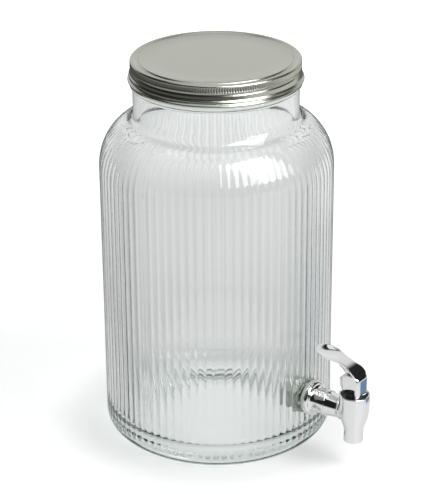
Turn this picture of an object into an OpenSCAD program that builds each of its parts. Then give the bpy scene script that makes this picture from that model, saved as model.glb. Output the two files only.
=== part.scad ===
// Glass drinks-jar style dispenser for liquid detergent.
// A round glass jar with a wide screw neck, a metal screw lid with a sealing ring,
// and a push-lever tap clamped through the wall near the base.
// Millimetres. Z is up, the origin is on the jar's axis at the surface it stands on,
// and the tap points along -Y.

/* [Jar] */
// Radius of the jar's body, outside
jar_r = 86; // [82:0.5:90]
// Thickness of the glass wall
glass_t = 4.8; // [4:0.1:5.5]
// Height at which the straight body ends and the shoulder starts
shoulder_z = 210; // [190:1:225]
// Height of the shoulder's curve
shoulder_rise = 38; // [34:1:40]
// Radius of the rounded heel
heel_r = 12; // [9:0.5:14]
// Height of the raised middle of the base
push_up = 4; // [2:0.5:6]
// Thickness of the glass floor
floor_t = 7; // [5:0.5:9]
// Number of reeds round the body
reeds = 88; // [60:4:104]
// Height of a reed over the valleys beside it
reed_depth = 0.7; // [0.4:0.05:0.8]
// Height above the base at which the reeds start
reed_foot_z = 12.5; // [12:0.5:20]

/* [Neck] */
// Radius of the neck below the lid
neck_r = 60.3; // [59.8:0.1:61]
// Radius of the open mouth
mouth_r = 54.5; // [53:0.5:55.5]
// Height of the glass above the straight body, up to the lip
lip_rise = 78.6; // [76:0.2:84]
// Height of the neck that the lid covers
finish_h = 13; // [12:0.5:13.5]
// Radius of the neck that the lid covers
finish_r = 58.6; // [58:0.1:59]
// Radius of the blend between shoulder and neck
blend_r = 7; // [5:0.5:8]

/* [Lid] */
// Radius of the knurled band
lid_r = 61.8; // [61.8:0.1:62.2]
// Thickness of the sheet metal
sheet_t = 0.6; // [0.5:0.05:0.7]
// Thickness of the sealing ring
seal_t = 1; // [0.8:0.1:1.2]

/* [Tap] */
// Distance from the jar's axis to the tap's barrel
barrel_y = 126; // [126:0.5:130]
// Height of the tap's arm
arm_z = 44.3; // [44.3:0.1:48]
// Height of the lever's pin over the arm
pin_rise = 23.2; // [23.2:0.1:23.4]
// Radius of the barrel at its rim
barrel_r = 11.4; // [11.4:0.1:12]
// Radius of the threaded tail that goes through the glass
tail_r = 8; // [7.8:0.1:8.2]
// Radius of the flange against the glass
flange_r = 13.2; // [13:0.1:15]

/* [Lever] */
// Distance from the lever's pin back to the tip of its paddle
lever_reach = 33.5; // [31:0.5:34.5]
// Width of the paddle
paddle_w = 17; // [14:0.5:17.5]
// Width of the plate in front of the barrel
plate_w = 14; // [12.5:0.5:14.5]
// Thickness of the blade
blade_t = 1.6; // [1.5:0.1:2]
// Turn of the lever when it is pushed down, in degrees
press_angle = 0; // [0:1:20]

/* [Hidden] */

$fn = 96;
overlap = 1;
clear = 0.05;

// Jar
inner_r = jar_r - glass_t;
shoulder_a = 32;
shoulder_in_a = 32;
shoulder_in_rise = shoulder_rise - 3.5;
body_top_z = shoulder_z + shoulder_rise;
lip_z = shoulder_z + lip_rise;
ledge_z = lip_z - finish_h;
ring_h = 3;
ring_slope = 1.6;
ring_r = neck_r + 2.2;
blend_foot = 0.6 * blend_r;
blend_in = 0.32 * blend_r;
foot_in_r = jar_r - heel_r - 10;
lip_edge_r = 1;
ring_edge = 0.5;
pad_r = 13;
pad_out_y = jar_r + 0.6;
pad_in_y = inner_r - 1.8;
hole_r = tail_r + 0.75;

// Reeds: each is part of a cylinder that stands just inside the wall
reed_half_w = jar_r * sin(180 / reeds);
reed_r = (pow(reed_half_w, 2) + pow(reed_depth, 2)) / (2 * reed_depth);
valley_r = jar_r - reed_depth;
reed_run_out = 2.4;

// Lid
lid_top_z = lip_z + seal_t + sheet_t + 1.4;
lid_bottom_z = ledge_z + 0.4;
panel_r = 53;
panel_z = lid_top_z - 0.7;
panel_slope = 1.2;
channel_z = lip_z + seal_t + clear + sheet_t;
rim_in_r = lid_r - 4;
rim_edge = 1;
skirt_in_r = lid_r - sheet_t;
groove_top_z = lid_top_z - 6;
groove_bottom_z = lid_top_z - 7.6;
groove_d = 0.3;
bead_z = lid_top_z - 8.6;
bead_h = 0.8;
bead_d = 1;
thread_d = 0.5;
curl_h = 1.2;
curl_d = 1.7;
seal_in_r = 52.5;
seal_out_r = lid_r - 5;

// Tap barrel, measured from the arm's height
rim_z = arm_z + 15.7;
seat_z = arm_z - 8.3;
outlet_z = arm_z - 22.8;
bonnet_z = rim_z - 2.4;
bonnet_head_h = 3;
ledge_up_z = rim_z - 10;
cup_flange_t = 1.2;
recess_r = 10.2;
thread_bore_r = 8.6;
chamber_r = 7.6;
seat_floor_r = 6.4;
seat_bore_r = 4.6;
outlet_r = 7.3;
outlet_bore_r = 5.6;
outlet_edge = 0.4;
spout_r = outlet_r - 0.1;
belly_r = outlet_r + 2.8;
belly_z = seat_z + 4.5;
rim_edge_h = 0.5;
tail_bore_r = 5.2;
joint_y = 104.5;
arm_r = 7.6;
arm_root_r = 9;
washer_t = 2;
flange_t = 1.8;
flange_edge = 0.6;
sleeve_r = 9.6;
sleeve_lip = 0.2;
sleeve_h = joint_y - pad_out_y - washer_t;
tail_end_y = 66;
nut_flange_r = 14;
nut_flange_t = 1.5;
nut_r = 13.6;
nut_t = 8;

// Stem and cup
stem_r = 2.5;
stem_bore_r = stem_r + clear;
collar_r = 4.2;
collar_t = 1.2;
cup_r = 5.6;
cup_in_r = cup_r - 0.8;
fold_z = ledge_up_z - 3;
fold_h = 1;
fold_d = 0.6;
cup_floor_t = 2.2;
spring_wire_r = 0.4;
spring_r = 3.7;
spring_turns = 6;

// Lever, in a side view with u towards the front and the pin at u = 0
pin_z = arm_z + pin_rise;
pin_r = 1.25;
heel_u = 4.5;
heel_arc_r = 5.5;
boss_r = 6.8;
boss_front_u = 3.3;
boss_top_z = pin_z - heel_arc_r - clear;
hub_w = 8.4;
hub_rear_h = 4.9;
hub_top_u = 4;
web_front_u = 3;
web_rear_u = -12;
plate_r = 9.2;
plate_in_u = 2;
plate_foot_z = pin_z - 8.7;
bend_u = plate_r + 0.4;
bend_z = pin_z - 5.5;
waist_w = 10.8;
waist_front_u = -5;
waist_back_u = -8;
tip_u = -lever_reach;
tip_z = pin_z + 21.1;
tip_round = 9.5;
slot_w = 4.4;
slot_front_u = 3.4;
slot_back_u = -6;
slot_rise = 4;
tongue_w = 4;
tongue_foot_z = boss_top_z - 1.2;
web_w = 3;

// Points of an arc in a plane
function arc(cx, cy, r, from, to, steps = 12) =
  [for (i = [0:steps]) let (a = from + (to - from) * i / steps) [cx + r * cos(a), cy + r * sin(a)]];
// Points of a quarter ellipse from its side up towards its top
function rise(cx, cy, a, b, from, to, steps = 20) =
  [for (i = [0:steps]) let (t = from + (to - from) * i / steps) [cx + a * cos(t), cy + b * sin(t)]];
// Points of a cubic curve
function curve(p, steps = 14) =
  [for (i = [0:steps]) let (t = i / steps, s = 1 - t)
    p[0] * pow(s, 3) + p[1] * 3 * s * s * t + p[2] * 3 * s * t * t + p[3] * pow(t, 3)];

// Turns a solid that is drawn along Z so that it lies along -Y at the arm's height
module along_arm(from_y) {
  translate([0, -from_y, arm_z]) rotate([90, 0, 0]) children();
}

// Places a solid on the barrel's axis
module on_barrel(z = 0) {
  translate([0, -barrel_y, z]) children();
}

// Extrudes a side view, drawn as [u, z], to a width across the lever
module side_view(width) {
  on_barrel() rotate([90, 0, 0]) rotate([0, -90, 0])
    linear_extrude(height = width, center = true) children();
}

// Jar: the outline of the glass, outside and inside
function shoulder_out() =
  let (cx = jar_r - shoulder_a, top = acos((neck_r + blend_foot - cx) / shoulder_a))
  rise(cx, shoulder_z, shoulder_a, shoulder_rise, 0, top);
function shoulder_in() =
  let (cx = inner_r - shoulder_in_a, top = acos((mouth_r + lip_edge_r - cx) / shoulder_in_a))
  rise(cx, shoulder_z, shoulder_in_a, shoulder_in_rise, 0, top);
// Where the shoulder ends, z follows from its ellipse
blend_reach = (neck_r + blend_foot - jar_r + shoulder_a) / shoulder_a;
blend_z = shoulder_z + shoulder_rise * sqrt(1 - pow(blend_reach, 2));
function neck_blend() = curve([
  [neck_r + blend_foot, blend_z], [neck_r + blend_foot - blend_in, blend_z + 0.4 * blend_in],
  [neck_r, blend_z + blend_foot - blend_in], [neck_r, blend_z + blend_r]
], 8);
function jar_outline() = concat(
  [[0, push_up], [foot_in_r - push_up, push_up], [foot_in_r, 0]],
  arc(jar_r - heel_r, heel_r, heel_r, -90, 0),
  shoulder_out(),
  neck_blend(),
  [[neck_r, ledge_z - ring_h - ring_slope], [ring_r, ledge_z - ring_h]],
  [[ring_r, ledge_z - ring_edge], [ring_r - ring_edge, ledge_z], [finish_r, ledge_z]],
  arc(finish_r - lip_edge_r, lip_z - lip_edge_r, lip_edge_r, 0, 90, 4),
  arc(mouth_r + lip_edge_r, lip_z - lip_edge_r, lip_edge_r, 90, 180, 4)
);
module jar_profile() {
  inner = shoulder_in();
  last = len(inner) - 1;
  polygon(concat(
    jar_outline(),
    [[mouth_r, body_top_z]],
    [for (i = [last:-1:0]) inner[i]],
    arc(inner_r - heel_r, push_up + floor_t + heel_r - 2, heel_r, 0, -90),
    [[0, push_up + floor_t]]
  ));
}
// The space inside the reeds: plain at the heel, with sloping ends where the valleys start
module reed_space() {
  translate([0, 0, -overlap]) cylinder(r = jar_r + overlap, h = reed_foot_z + overlap);
  translate([0, 0, reed_foot_z - clear])
    cylinder(r1 = jar_r + clear, r2 = valley_r - clear, h = reed_run_out);
  translate([0, 0, reed_foot_z - overlap])
  linear_extrude(height = lip_z) {
    circle(r = valley_r - overlap, $fn = 180);
    for (i = [0:reeds - 1]) rotate((i + 0.5) * 360 / reeds)
      translate([jar_r - reed_r, 0]) circle(r = reed_r);
  }
}
module glass_jar() {
  color([0.80, 0.86, 0.84, 0.4])
  difference() {
    union() {
      intersection() {
        rotate_extrude($fn = 180) jar_profile();
        reed_space();
      }
      along_arm(pad_in_y) cylinder(r = pad_r, h = pad_out_y - pad_in_y);
    }
    along_arm(pad_in_y - overlap) cylinder(r = hole_r, h = pad_out_y - pad_in_y + 2 * overlap);
  }
}

// Lid: one line of the sheet's outside, from the middle of the panel to the bottom curl
function lid_line() = concat(
  [[0, panel_z], [panel_r, panel_z], [panel_r + panel_slope, channel_z], [rim_in_r - rim_edge, channel_z]],
  [[rim_in_r, lid_top_z - rim_edge], [rim_in_r + rim_edge, lid_top_z]],
  [[lid_r - rim_edge, lid_top_z], [lid_r, lid_top_z - rim_edge]],
  [[lid_r, groove_top_z + groove_d], [lid_r - groove_d, groove_top_z], [lid_r - groove_d, groove_bottom_z]],
  [[lid_r + thread_d, bead_z], [lid_r + bead_d, bead_z - bead_h], [lid_r + thread_d, bead_z - 2 * bead_h]],
  [[lid_r + bead_d, bead_z - 3 * bead_h], [lid_r + bead_d, lid_bottom_z + 2 * curl_h]],
  [[lid_r + curl_d, lid_bottom_z + curl_h], [lid_r + curl_d, lid_bottom_z]]
);
module lid_shell() {
  color([0.66, 0.65, 0.60])
  rotate_extrude($fn = 180) polygon(concat(
    lid_line(),
    [[skirt_in_r + thread_d, lid_bottom_z], [skirt_in_r + thread_d, bead_z]],
    [[skirt_in_r - groove_d, groove_bottom_z], [skirt_in_r - groove_d, groove_top_z]],
    [[skirt_in_r, groove_top_z + groove_d], [skirt_in_r, lid_top_z - rim_edge]],
    [[lid_r - rim_edge, lid_top_z - sheet_t], [rim_in_r + rim_edge, lid_top_z - sheet_t]],
    [[rim_in_r, channel_z - sheet_t], [panel_r, channel_z - sheet_t]],
    [[panel_r - panel_slope, panel_z - sheet_t], [0, panel_z - sheet_t]]
  ));
}
module lid_seal() {
  color([0.92, 0.92, 0.90])
  translate([0, 0, lip_z])
  difference() {
    cylinder(r = seal_out_r, h = seal_t, $fn = 180);
    translate([0, 0, -overlap]) cylinder(r = seal_in_r, h = seal_t + 2 * overlap, $fn = 180);
  }
}

// Tap: barrel, arm and threaded tail in one moulding
module barrel_profile() {
  polygon(concat(
    [[0, outlet_z], [outlet_r - outlet_edge, outlet_z], [outlet_r, outlet_z + outlet_edge]],
    curve([[spout_r, seat_z - 5], [spout_r + 0.7, seat_z - 1.5], [spout_r + 2.1, seat_z + 1.5],
      [belly_r, belly_z]]),
    curve([[belly_r, belly_z], [barrel_r - 0.6, belly_z + 3], [barrel_r - 0.2, belly_z + 7.5],
      [barrel_r, rim_z - 3]]),
    [[barrel_r, rim_z - rim_edge_h], [barrel_r - rim_edge_h, rim_z], [0, rim_z]]
  ));
}
module chamber_profile() {
  polygon([
    [0, outlet_z - overlap], [outlet_bore_r, outlet_z - overlap], [outlet_bore_r, seat_z - 3],
    [seat_bore_r, seat_z - 2], [seat_bore_r, seat_z], [seat_floor_r, seat_z],
    [chamber_r, seat_z + 8], [chamber_r, ledge_up_z], [thread_bore_r, ledge_up_z],
    [thread_bore_r, bonnet_z - bonnet_head_h], [recess_r, bonnet_z - bonnet_head_h],
    [recess_r, rim_z + overlap], [0, rim_z + overlap]
  ]);
}
module tap_body() {
  color([0.86, 0.87, 0.88])
  difference() {
    union() {
      on_barrel() rotate_extrude() barrel_profile();
      along_arm(joint_y) cylinder(r1 = arm_root_r, r2 = arm_r, h = barrel_y - joint_y - thread_bore_r);
      along_arm(tail_end_y) cylinder(r = tail_r, h = joint_y - tail_end_y + overlap);
    }
    on_barrel() rotate_extrude() chamber_profile();
    along_arm(tail_end_y - overlap) cylinder(r = tail_bore_r, h = barrel_y - tail_end_y);
  }
}
module tap_collar() {
  color([0.88, 0.89, 0.90])
  along_arm(pad_out_y + washer_t)
  difference() {
    rotate_extrude() polygon([
      [0, 0], [flange_r - flange_edge, 0], [flange_r, flange_edge], [flange_r, flange_t],
      [flange_r - 2 * flange_edge, flange_t + 2 * flange_edge],
      [sleeve_r + 2 * flange_edge, flange_t + 3 * flange_edge],
      [sleeve_r, flange_t + 6 * flange_edge], [sleeve_r, sleeve_h - flange_edge],
      [sleeve_r + sleeve_lip, sleeve_h - flange_edge + sleeve_lip], [sleeve_r, sleeve_h], [0, sleeve_h]
    ]);
    translate([0, 0, -overlap]) cylinder(r = tail_r + clear, h = sleeve_h + 2 * overlap);
  }
}
module washer(r, from_y) {
  along_arm(from_y)
  difference() {
    cylinder(r = r, h = washer_t);
    translate([0, 0, -overlap]) cylinder(r = tail_r + clear, h = washer_t + 2 * overlap);
  }
}
module outer_washer() {
  color([0.90, 0.90, 0.88]) washer(flange_r - 0.8, pad_out_y);
}
module inner_washer() {
  color([0.90, 0.90, 0.88]) washer(pad_r, pad_in_y - washer_t);
}
module lock_nut() {
  color([0.85, 0.86, 0.85])
  along_arm(pad_in_y - washer_t - nut_t)
  difference() {
    union() {
      cylinder(r = nut_r, h = nut_t - nut_flange_t, $fn = 6);
      translate([0, 0, nut_t - nut_flange_t]) cylinder(r = nut_flange_r, h = nut_flange_t);
    }
    translate([0, 0, -overlap]) cylinder(r = tail_r + clear, h = nut_t + 2 * overlap);
  }
}

// Valve: the bonnet closes the barrel and carries the flat that the lever's heel rolls on
module tap_bonnet() {
  color([0.20, 0.21, 0.22])
  on_barrel()
  difference() {
    union() {
      translate([0, 0, ledge_up_z + cup_flange_t])
        cylinder(r = thread_bore_r - clear, h = bonnet_z - ledge_up_z - cup_flange_t);
      translate([0, 0, bonnet_z - bonnet_head_h]) cylinder(r = recess_r - clear, h = bonnet_head_h);
      intersection() {
        translate([0, 0, bonnet_z - overlap]) cylinder(r = boss_r, h = boss_top_z - bonnet_z + overlap);
        translate([-boss_r - overlap, -boss_front_u, bonnet_z - overlap])
          cube([2 * (boss_r + overlap), boss_front_u + boss_r + overlap, 20]);
      }
    }
    cylinder(r = stem_bore_r, h = rim_z + 20);
  }
}
module valve_stem() {
  color([0.82, 0.82, 0.80])
  on_barrel()
  difference() {
    union() {
      translate([0, 0, seat_z + cup_floor_t]) cylinder(r = collar_r, h = collar_t);
      translate([0, 0, seat_z + cup_floor_t])
        cylinder(r = stem_r, h = tongue_foot_z - seat_z - cup_floor_t);
      intersection() {
        translate([-tongue_w / 2, -stem_r - overlap, tongue_foot_z - overlap])
          cube([tongue_w, 2 * (stem_r + overlap), pin_z - tongue_foot_z + stem_r + overlap]);
        union() {
          translate([0, 0, tongue_foot_z - overlap])
            cylinder(r = stem_r, h = pin_z - tongue_foot_z + overlap);
          translate([0, 0, pin_z]) rotate([0, 90, 0]) cylinder(r = stem_r, h = tongue_w, center = true);
        }
      }
    }
    translate([0, 0, pin_z]) rotate([0, 90, 0]) cylinder(r = pin_r + clear, h = 20, center = true);
  }
}
// One coil of wire swept along a helix: rings of points joined by triangles
module return_spring() {
  bottom = seat_z + cup_floor_t + collar_t + spring_wire_r;
  top = ledge_up_z + cup_flange_t - spring_wire_r;
  sides = 6;
  per_turn = 16;
  rings = spring_turns * per_turn;
  points = [for (i = [0:rings]) let (a = 360 * i / per_turn, z = bottom + (top - bottom) * i / rings)
    for (j = [0:sides - 1]) let (b = 360 * j / sides, r = spring_r + spring_wire_r * cos(b))
      [r * cos(a), r * sin(a), z + spring_wire_r * sin(b)]];
  walls = [for (i = [0:rings - 1]) for (j = [0:sides - 1])
    [i * sides + j, i * sides + (j + 1) % sides, (i + 1) * sides + (j + 1) % sides, (i + 1) * sides + j]];
  first = [for (j = [sides - 1:-1:0]) j];
  final = [for (j = [0:sides - 1]) rings * sides + j];
  color([0.7, 0.7, 0.7])
  on_barrel() polyhedron(points = points, faces = concat([first], walls, [final]));
}
module seat_cup() {
  color([0.93, 0.93, 0.91])
  on_barrel()
  rotate_extrude() polygon([
    [0, seat_z], [cup_r, seat_z], [cup_r, fold_z - fold_h], [cup_r + fold_d, fold_z],
    [cup_r, fold_z + fold_h], [cup_r, ledge_up_z], [thread_bore_r - 2 * clear, ledge_up_z],
    [thread_bore_r - 2 * clear, ledge_up_z + cup_flange_t], [cup_in_r, ledge_up_z + cup_flange_t],
    [cup_in_r, fold_z + fold_h], [cup_in_r + fold_d, fold_z], [cup_in_r, fold_z - fold_h],
    [cup_in_r, seat_z + cup_floor_t], [0, seat_z + cup_floor_t]
  ]);
}

// Lever: a curved plate in front of the pin that sweeps back into a paddle, with a hub and web under it
function blade_top() = curve([
  [bend_u, bend_z], [bend_u, pin_z + 20.2], [-23.2, pin_z + 18.8], [tip_u, tip_z]
], 24);
// A line of points moved sideways by t
function beside(points, t) = [
  for (i = [0:len(points) - 1])
    let (step = points[min(len(points) - 1, i + 1)] - points[max(0, i - 1)])
    points[i] + t * [-step[1], step[0]] / norm(step)
];
// Points of the blade's middle between two distances from the pin
function blade_middle(from_u, to_u) = [
  for (p = beside(blade_top(), blade_t / 2)) if (p[0] < from_u && p[0] > to_u) p
];
function ease(t) = (1 - cos(180 * min(1, max(0, t)))) / 2;
function half_width(u) =
  let (
    front = (plate_w - waist_w) / 2 * ease((u - waist_front_u) / 7),
    back = (paddle_w - waist_w) / 2 * ease((waist_back_u - u) / 14),
    wide = waist_w / 2 + front + back,
    round_off = max(0, tip_u + tip_round - u) / tip_round
  )
  wide * sqrt(1 - pow(min(1, round_off), 2));
module blade_plan() {
  steps = 60;
  front_u = plate_r + overlap;
  us = [for (i = [0:steps]) front_u + (tip_u - front_u) * sin(90 * i / steps)];
  intersection() {
    polygon(concat(
      [for (u = us) [half_width(u), -u]],
      [for (i = [steps - 1:-1:0]) [-half_width(us[i]), -us[i]]]
    ));
    union() {
      circle(r = plate_r);
      translate([-paddle_w, 0]) square([2 * paddle_w, lever_reach + overlap]);
    }
  }
}
module plate_plan() {
  intersection() {
    difference() {
      circle(r = plate_r);
      circle(r = plate_r - blade_t);
    }
    translate([-plate_w / 2, -plate_r - overlap]) square([plate_w, plate_r + overlap - plate_in_u]);
  }
}
module blade() {
  top = blade_top();
  under = beside(top, blade_t);
  last = len(top) - 1;
  intersection() {
    side_view(paddle_w + 2) polygon(concat(top, [for (i = [last:-1:0]) under[i]]));
    on_barrel(plate_foot_z) linear_extrude(height = 60) blade_plan();
  }
  intersection() {
    side_view(paddle_w + 2) polygon(concat([[0, plate_foot_z], [bend_u, plate_foot_z]], top));
    on_barrel(plate_foot_z) linear_extrude(height = 60) plate_plan();
  }
}
module lever() {
  hub_front_u = sqrt(pow(plate_r, 2) - pow(hub_w / 2, 2)) - 0.2;
  color([0.88, 0.89, 0.90])
  difference() {
    union() {
      blade();
      side_view(hub_w) polygon(concat(
        arc(-heel_u, pin_z, heel_arc_r, 180, 270), [[hub_front_u, pin_z - heel_arc_r]],
        blade_middle(hub_front_u, hub_top_u), [[-heel_u - heel_arc_r, pin_z + hub_rear_h]]
      ));
      side_view(web_w) polygon(concat(
        [[-heel_u, pin_z + slot_rise], [web_front_u, pin_z + slot_rise]],
        blade_middle(web_front_u, web_rear_u)
      ));
    }
    on_barrel(pin_z) translate([-slot_w / 2, -slot_front_u, -12])
      cube([slot_w, slot_front_u - slot_back_u, 12 + slot_rise]);
    on_barrel(pin_z) rotate([0, 90, 0]) cylinder(r = pin_r - 0.01, h = 20, center = true);
  }
}
module lever_pin() {
  color([0.75, 0.75, 0.75])
  on_barrel(pin_z) rotate([0, 90, 0]) cylinder(r = pin_r, h = hub_w - 0.2, center = true);
}

// The valve and lever as they stand when the lever is turned by press_angle
module lifted() {
  translate([0, 0, heel_u * sin(press_angle)]) children();
}
module pressed() {
  lifted() on_barrel(pin_z) rotate([-press_angle, 0, 0]) translate([0, barrel_y, -pin_z]) children();
}

glass_jar();
lid_shell();
lid_seal();
tap_body();
tap_collar();
outer_washer();
inner_washer();
lock_nut();
tap_bonnet();
lifted() valve_stem();
return_spring();
seat_cup();
pressed() lever();
pressed() lever_pin();
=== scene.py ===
import math

import bmesh
import bpy
from bpy.props import FloatProperty, FloatVectorProperty, IntProperty, PointerProperty
from mathutils import Matrix, Vector


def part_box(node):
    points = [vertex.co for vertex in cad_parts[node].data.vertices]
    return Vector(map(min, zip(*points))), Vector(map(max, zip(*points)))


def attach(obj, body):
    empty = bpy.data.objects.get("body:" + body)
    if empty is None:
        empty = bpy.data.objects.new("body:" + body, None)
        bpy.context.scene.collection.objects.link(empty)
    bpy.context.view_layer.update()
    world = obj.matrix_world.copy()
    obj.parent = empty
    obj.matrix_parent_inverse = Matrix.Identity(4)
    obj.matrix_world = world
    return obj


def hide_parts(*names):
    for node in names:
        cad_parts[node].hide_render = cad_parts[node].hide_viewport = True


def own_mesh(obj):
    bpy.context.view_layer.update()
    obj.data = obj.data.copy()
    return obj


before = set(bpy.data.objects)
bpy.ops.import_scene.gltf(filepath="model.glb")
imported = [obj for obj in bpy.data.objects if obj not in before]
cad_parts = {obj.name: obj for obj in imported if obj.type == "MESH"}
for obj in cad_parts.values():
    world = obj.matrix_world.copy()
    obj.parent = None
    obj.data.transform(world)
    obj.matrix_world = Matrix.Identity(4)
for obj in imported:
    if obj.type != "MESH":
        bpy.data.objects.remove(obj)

bl_info = {
    "name": "Fluted Glass Dispenser",
    "version": (1, 0, 0),
    "blender": (4, 5, 0),
    "location": "3D View > Sidebar > Dispenser",
    "description": "Builds a fluted glass dispenser jar with a screw lid and a push-lever tap",
    "category": "Add Mesh",
}

MM = 0.001
TAU = 2 * math.pi
UP = Vector((0, 0, 1))

# Points closer than this are one, in millimetres: between the eighths of a spun shape, and after a boolean
SPUN_GAP = 2e-3
BOOLEAN_GAP = 1e-4


def node_size(node):
    """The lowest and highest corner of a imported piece, in millimetres."""
    low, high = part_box(node)
    return low / MM, high / MM


# Places that every piece shares, in millimetres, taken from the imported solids
JAR_HIGH = node_size("glass_jar")[1]
LID_LOW, LID_HIGH = node_size("lid_shell")
PIN_LOW, PIN_HIGH = node_size("lever_pin")
NUT_LOW, NUT_HIGH = node_size("lock_nut")
COLLAR_HIGH = node_size("tap_collar")[1]

ARM_Z = (NUT_LOW.z + NUT_HIGH.z) / 2
BARREL_Y = -(PIN_LOW.y + PIN_HIGH.y) / 2
PIN_Z = (PIN_LOW.z + PIN_HIGH.z) / 2
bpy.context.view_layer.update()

# These lay a shape spun round Z along the tap's arm, its height being the distance from the jar's axis, or
# stand it on the barrel's axis
ALONG_ARM = Matrix.Translation((0, 0, ARM_Z)) @ Matrix.Rotation(math.pi / 2, 4, "X")
ON_BARREL = Matrix.Translation((0, -BARREL_Y, 0))


class JarSettings(bpy.types.PropertyGroup):
    """Sizes of the glass jar."""
    body_radius: FloatProperty(
        name="Body radius", description="Radius over the crests of the flutes, mm", default=86.0, min=60)
    wall: FloatProperty(
        name="Wall", description="Thickness of the glass wall, mm", default=4.8, min=2)
    shoulder_z: FloatProperty(
        name="Shoulder height", description="Height at which the shoulder starts, mm", default=210.0)
    shoulder_rise: FloatProperty(
        name="Shoulder rise", description="Height of the shoulder's curve, mm", default=38.0)
    neck_radius: FloatProperty(
        name="Neck radius", description="Radius of the neck below the lid, mm", default=60.3)
    mouth_radius: FloatProperty(
        name="Mouth radius", description="Radius of the open mouth, mm", default=54.5)
    finish_radius: FloatProperty(
        name="Finish radius", description="Radius of the neck under the lid, mm", default=58.6)
    flutes: IntProperty(
        name="Flutes", description="Number of flutes round the body", default=88, min=12)
    flute_depth: FloatProperty(
        name="Flute depth", description="Depth of the valleys between the flutes, mm", default=0.55)


class LidSettings(bpy.types.PropertyGroup):
    """Sizes of the metal lid."""
    ridges: IntProperty(
        name="Ridges", description="Number of ridges in the grip band", default=208, min=24)
    ridge_depth: FloatProperty(
        name="Ridge depth", description="Height of the grip ridges, mm", default=0.6)
    thread_pitch: FloatProperty(
        name="Thread pitch", description="Rise of the rolled thread in one turn, mm", default=5.08)
    thread_depth: FloatProperty(
        name="Thread depth", description="Depth of the rolled thread, mm", default=0.75)


class FinishSettings(bpy.types.PropertyGroup):
    """Colours of the materials."""
    glass: FloatVectorProperty(
        name="Glass", description="Tint of the glass", subtype="COLOR", size=3, default=(0.985, 0.992, 0.988))
    lid: FloatVectorProperty(
        name="Lid", description="Colour of the satin tinplate", subtype="COLOR", size=3,
        default=(0.52, 0.53, 0.465))
    plating: FloatVectorProperty(
        name="Plating", description="Colour of the chrome plate", subtype="COLOR", size=3,
        default=(0.90, 0.905, 0.90))
    seals: FloatVectorProperty(
        name="Seals", description="Colour of the silicone seals", subtype="COLOR", size=3,
        default=(0.62, 0.64, 0.61))


# ---- Mesh helpers ---------------------------------------------------------

def ellipse(cx, cz, a, b, start, end, steps):
    """Points of an elliptic arc in a side view, angles in degrees."""
    turn = math.radians(end - start)
    first = math.radians(start)
    return [(cx + a * math.cos(first + turn * i / steps), cz + b * math.sin(first + turn * i / steps))
            for i in range(steps + 1)]


def arc(cx, cz, radius, start, end, steps):
    """Points of a round arc in a side view, angles in degrees."""
    return ellipse(cx, cz, radius, radius, start, end, steps)


def line(start, end, steps):
    """Evenly spaced points from start to end, without the first."""
    return [tuple(a + (b - a) * i / steps for a, b in zip(start, end)) for i in range(1, steps + 1)]


def weighted(points, weights):
    """The sum of points of a side view, each times its weight."""
    return tuple(sum(w * p[k] for w, p in zip(weights, points)) for k in range(2))


def bezier(points, t):
    """The point at t, from 0 to 1, of a cubic curve with four control points."""
    s = 1 - t
    return weighted(points, (s ** 3, 3 * s * s * t, 3 * s * t * t, t ** 3))


def cubic(points, steps):
    """Points of a cubic curve from its first to its last control point."""
    return [bezier(points, i / steps) for i in range(steps + 1)]


def fade(x, start, end):
    """Eases from 0 where x is at start to 1 where it is at end."""
    x = min(1.0, max(0.0, (x - start) / (end - start)))
    return x * x * (3 - 2 * x)


def thread(angle, z, top_z, pitch, turns, half, run_out, power):
    """How far a screw thread stands out at an angle and a height, from 0 to 1, with both its ends run out."""
    best, end = 0.0, turns * TAU
    for lap in range(math.ceil(turns)):
        turned = (angle % TAU) + lap * TAU
        off = abs(z - (top_z - pitch * turned / TAU)) / half
        if turned <= end and off < 1:
            ends = fade(turned, 0, run_out) * fade(turned, end, end - run_out)
            best = max(best, ends * math.cos(off * math.pi / 2) ** power)
    return best


def placed(bm, matrix):
    """The bmesh, moved by a matrix."""
    bmesh.ops.transform(bm, matrix=matrix, verts=bm.verts)
    return bm


def new_verts(made):
    """The vertices in what a bmesh operator says that it made."""
    return [v for v in made["geom"] if isinstance(v, bmesh.types.BMVert)]


def spun(outline, steps):
    """A bmesh made by spinning an outline of (radius, height) points round Z: one eighth, then seven copies.

    An outline that starts off the axis is closed to a ring.
    """
    bm = bmesh.new()
    verts = [bm.verts.new((r, 0, z)) for r, z in outline]
    edges = [bm.edges.new(pair) for pair in zip(verts, verts[1:])]
    if outline[0][0] > 0:
        edges.append(bm.edges.new((verts[-1], verts[0])))
    bmesh.ops.spin(bm, geom=verts + edges, cent=(0, 0, 0), axis=UP, angle=TAU / 8, steps=steps // 8)
    eighth = bm.verts[:] + bm.edges[:] + bm.faces[:]
    for i in range(1, 8):
        copy = bmesh.ops.duplicate(bm, geom=eighth)
        turn = Matrix.Rotation(TAU * i / 8, 3, "Z")
        bmesh.ops.rotate(bm, cent=(0, 0, 0), matrix=turn, verts=new_verts(copy))
    bmesh.ops.remove_doubles(bm, verts=bm.verts, dist=SPUN_GAP)
    bmesh.ops.recalc_face_normals(bm, faces=bm.faces)
    return bm


def pressed(bm, relief, settings):
    """The bmesh, with each point moved out from the Z axis by relief(settings, angle, radius, z)."""
    for vert in bm.verts:
        x, y, z = vert.co
        radius = math.hypot(x, y)
        push = relief(settings, math.atan2(y, x), radius, z)
        if push:
            vert.co.x += push * x / radius
            vert.co.y += push * y / radius
    return bm


def rounded(bm, edges, offset):
    """The bmesh, with some of its edges rounded."""
    bmesh.ops.bevel(bm, geom=edges, offset=offset, offset_type="OFFSET", affect="EDGES", segments=3,
                    profile=0.5, material=-1, clamp_overlap=True)
    return bm


def sharp_edges(bm, degrees):
    """The edges at which two faces meet at more than this angle."""
    return [e for e in bm.edges if e.calc_face_angle(0) > math.radians(degrees)]


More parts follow.
